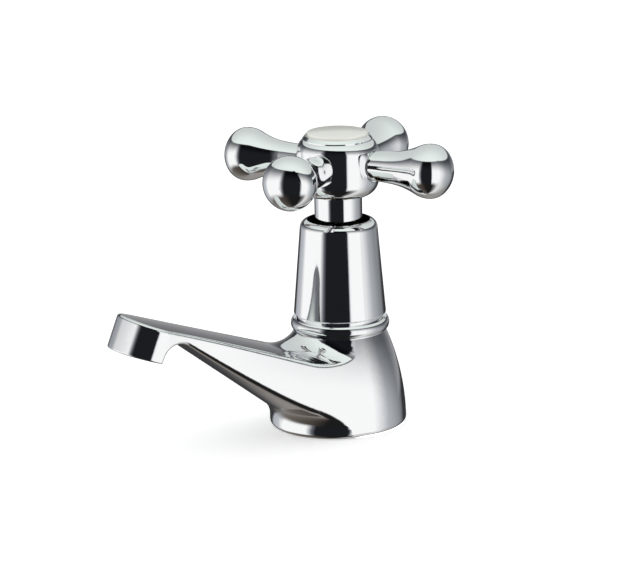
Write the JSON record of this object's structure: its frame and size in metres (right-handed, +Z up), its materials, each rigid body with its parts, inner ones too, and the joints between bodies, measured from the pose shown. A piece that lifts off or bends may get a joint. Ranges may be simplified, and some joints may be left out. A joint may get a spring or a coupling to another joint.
{
  "type": "cross handle pillar tap",
  "caption": "Pillar tap for a single hole: bell-shaped body, flat rising spout, tapered shroud and a cross handle whose turned arms swell to round ends.",
  "frame": {"origin": "centre of the base's underside, on the spindle axis, where the tap stands on its deck", "axes": "+Z up along the spindle axis, spout along -Y, +X to the right seen from the spout"},
  "size_m": [0.0752, 0.125, 0.1512],
  "materials": {
    "chrome_plate": "mirror chrome plate",
    "brass": "machined brass",
    "steel": "bright stainless steel",
    "rubber": "black rubber",
    "red_fibre": "red vulcanised fibre",
    "white_seal": "white sealing plastic",
    "cream_enamel": "glossy cream enamel"
  },
  "bodies": {
    "tap": {"tap_body": "chrome_plate", "inlet_tail": "brass", "base_gasket": "rubber", "deck_washer": "rubber", "back_nut": "brass", "flow_straightener": "white_seal", "base_ring": "chrome_plate", "shroud": "chrome_plate", "bonnet_washer": "red_fibre", "headwork_body": "brass", "gland_packing": "white_seal", "gland_nut": "brass"},
    "valve": {"jumper": "brass", "jumper_washer": "rubber", "washer_nut": "brass"},
    "handle": {"spindle": "brass", "spindle_o_ring": "rubber", "spline_bush": "white_seal", "handle_hub": "chrome_plate", "handle_arm_1": "chrome_plate", "handle_arm_2": "chrome_plate", "handle_arm_3": "chrome_plate", "handle_arm_4": "chrome_plate", "lock_washer": "steel", "handle_screw": "steel", "index_bezel": "chrome_plate", "index_disc": "cream_enamel"}
  },
  "joints": [
    {"name": "valve_lift", "type": "slide", "parent": "tap", "child": "valve", "axis": [0, 0, 1], "range_m": [0, 0.00521]},
    {"name": "handle_turn", "type": "hinge", "parent": "valve", "child": "handle", "pos_m": [0, 0, 0.0902], "axis": [0, 0, 1], "range_deg": [0, 936]}
  ],
  "couplings": [
    {"joint": "valve_lift", "follows": "handle_turn", "m_per_rad": 0.00031831}
  ]
}
